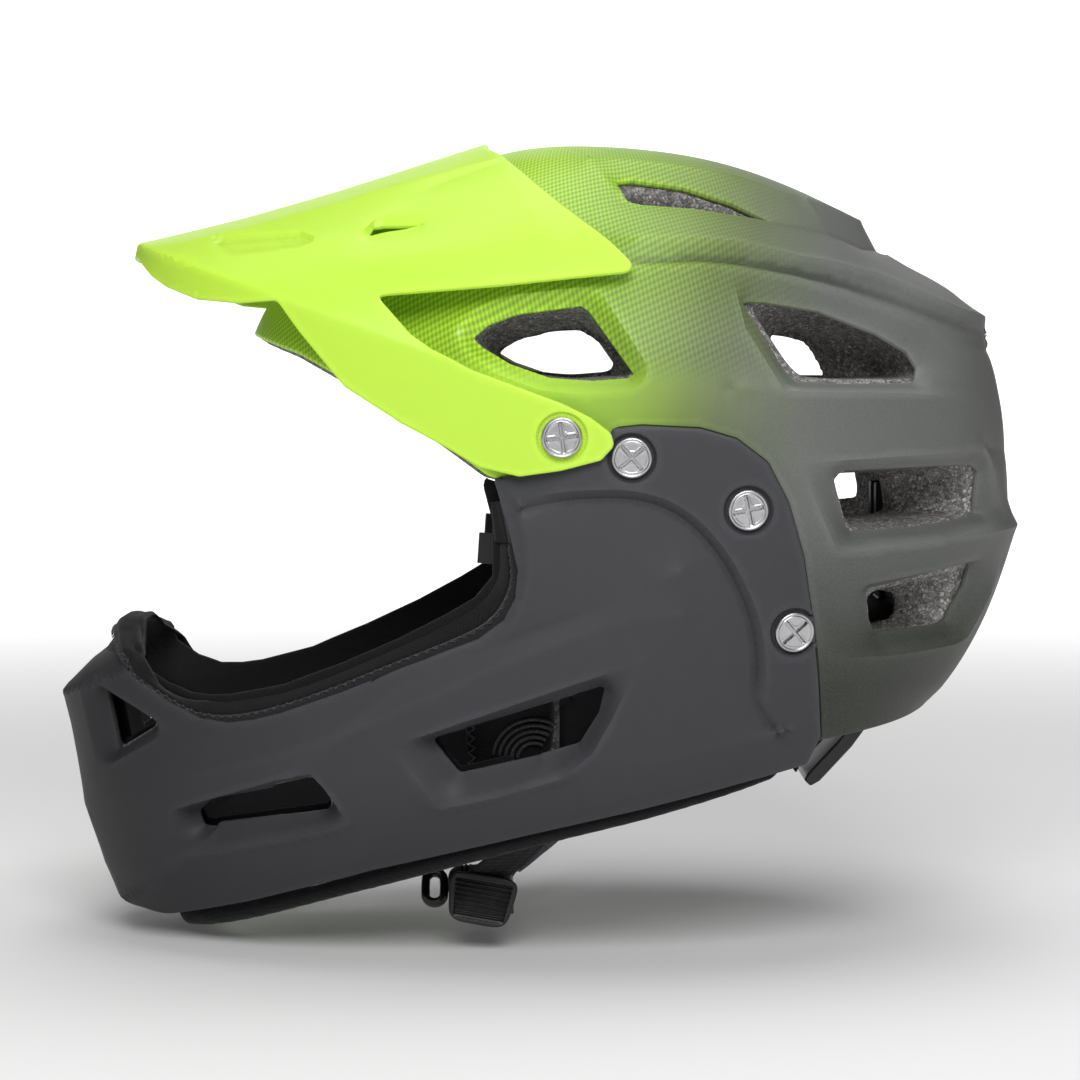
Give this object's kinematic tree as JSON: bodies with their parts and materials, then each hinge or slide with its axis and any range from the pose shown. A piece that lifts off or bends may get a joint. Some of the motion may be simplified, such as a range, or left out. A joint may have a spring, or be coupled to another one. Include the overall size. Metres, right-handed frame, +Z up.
{
  "type": "bicycle helmet",
  "caption": "Full-face trail cycling helmet: vented half shell with a bolt-on chin bar, a tilting peak, an adjustable nape cradle and a buckled chin strap.",
  "frame": {"origin": "centre of the head space, on the plane of symmetry, level with the shell's widest point", "axes": "-X is the wearer's front, +X the back, -Y the wearer's left, +Y the wearer's right, +Z up"},
  "size_m": [0.3565, 0.225, 0.2917],
  "materials": {
    "shell_paint": "matte painted shell, lime fading to dark grey",
    "bar_plastic": "matte moulded plastic",
    "visor_plastic": "matte lime moulded plastic",
    "foam": "dark expanded bead foam",
    "pad_fabric": "black brushed knit over foam",
    "lining_fabric": "black brushed knit with a bound edge",
    "webbing": "black woven webbing",
    "strap_pad": "grey felted knit",
    "screw_metal": "bright cross-slotted heads, lightly scuffed",
    "insert_brass": "threaded sleeves",
    "washer_rubber": "black rubber",
    "fit_plastic": "black moulded nylon",
    "cradle_plastic": "grey-green moulded nylon",
    "dial_rubber": "black soft-touch",
    "pinion_plastic": "natural acetal",
    "buckle_plastic": "black acetal, satin gloss",
    "keeper_rubber": "glossy black rubber"
  },
  "bodies": {
    "helmet": {"outer_shell": "shell_paint", "eps_liner": "foam", "brow_pad": "pad_fabric", "crown_pads": "pad_fabric", "chin_bar_shell": "bar_plastic", "chin_bar_foam": "foam", "chin_bar_lining": "lining_fabric", "lower_pad_left": "lining_fabric", "lower_pad_right": "lining_fabric", "cheek_pad_left": "pad_fabric", "cheek_pad_right": "pad_fabric", "chin_bar_screws": "screw_metal", "chin_bar_inserts": "insert_brass", "visor_screws": "screw_metal", "visor_inserts": "insert_brass", "visor_washers": "washer_rubber", "cradle_track": "fit_plastic", "track_pins": "fit_plastic", "strap_anchors": "fit_plastic", "front_webbing_left": "webbing", "front_webbing_right": "webbing", "rear_webbing_left": "webbing", "rear_webbing_right": "webbing", "strap_divider_left": "fit_plastic", "strap_divider_right": "fit_plastic", "chin_strap_left": "webbing", "chin_strap_right": "webbing", "chin_strap_pad": "strap_pad", "buckle_socket": "buckle_plastic", "strap_keeper": "keeper_rubber"},
    "visor": {"visor": "visor_plastic"},
    "cradle": {"cradle_frame": "cradle_plastic", "cradle_pad": "pad_fabric"},
    "dial": {"dial_knob": "dial_rubber", "dial_pinion": "pinion_plastic"},
    "band_left": {"head_band_left": "fit_plastic"},
    "band_right": {"head_band_right": "fit_plastic"},
    "buckle_tongue": {"buckle_plug": "buckle_plastic"}
  },
  "joints": [
    {"name": "visor_tilt", "type": "hinge", "parent": "helmet", "child": "visor", "pos_m": [-0.0305, 0, 0.004], "axis": [0, 1, 0], "range_deg": [-3, 9]},
    {"name": "cradle_height", "type": "slide", "parent": "helmet", "child": "cradle", "axis": [0, 0, 1], "range_m": [-0.006, 0.006]},
    {"name": "dial_turn", "type": "hinge", "parent": "cradle", "child": "dial", "pos_m": [0.1, 0, -0.075], "axis": [1, 0, 0], "range_deg": [-57.3, 57.3]},
    {"name": "band_left_slide", "type": "slide", "parent": "cradle", "child": "band_left", "axis": [0, -1, 0], "range_m": [-0.005, 0.005]},
    {"name": "band_right_slide", "type": "slide", "parent": "cradle", "child": "band_right", "axis": [0, 1, 0], "range_m": [-0.005, 0.005]},
    {"name": "buckle_release", "type": "slide", "parent": "helmet", "child": "buckle_tongue", "axis": [0, 0.9063, -0.4226], "range_m": [0, 0.014], "deforming": ["chin_strap_right"]}
  ],
  "couplings": [
    {"joint": "dial_turn", "follows": "band_left_slide", "rad_per_m": 200},
    {"joint": "band_right_slide", "follows": "band_left_slide", "ratio": 1}
  ]
}
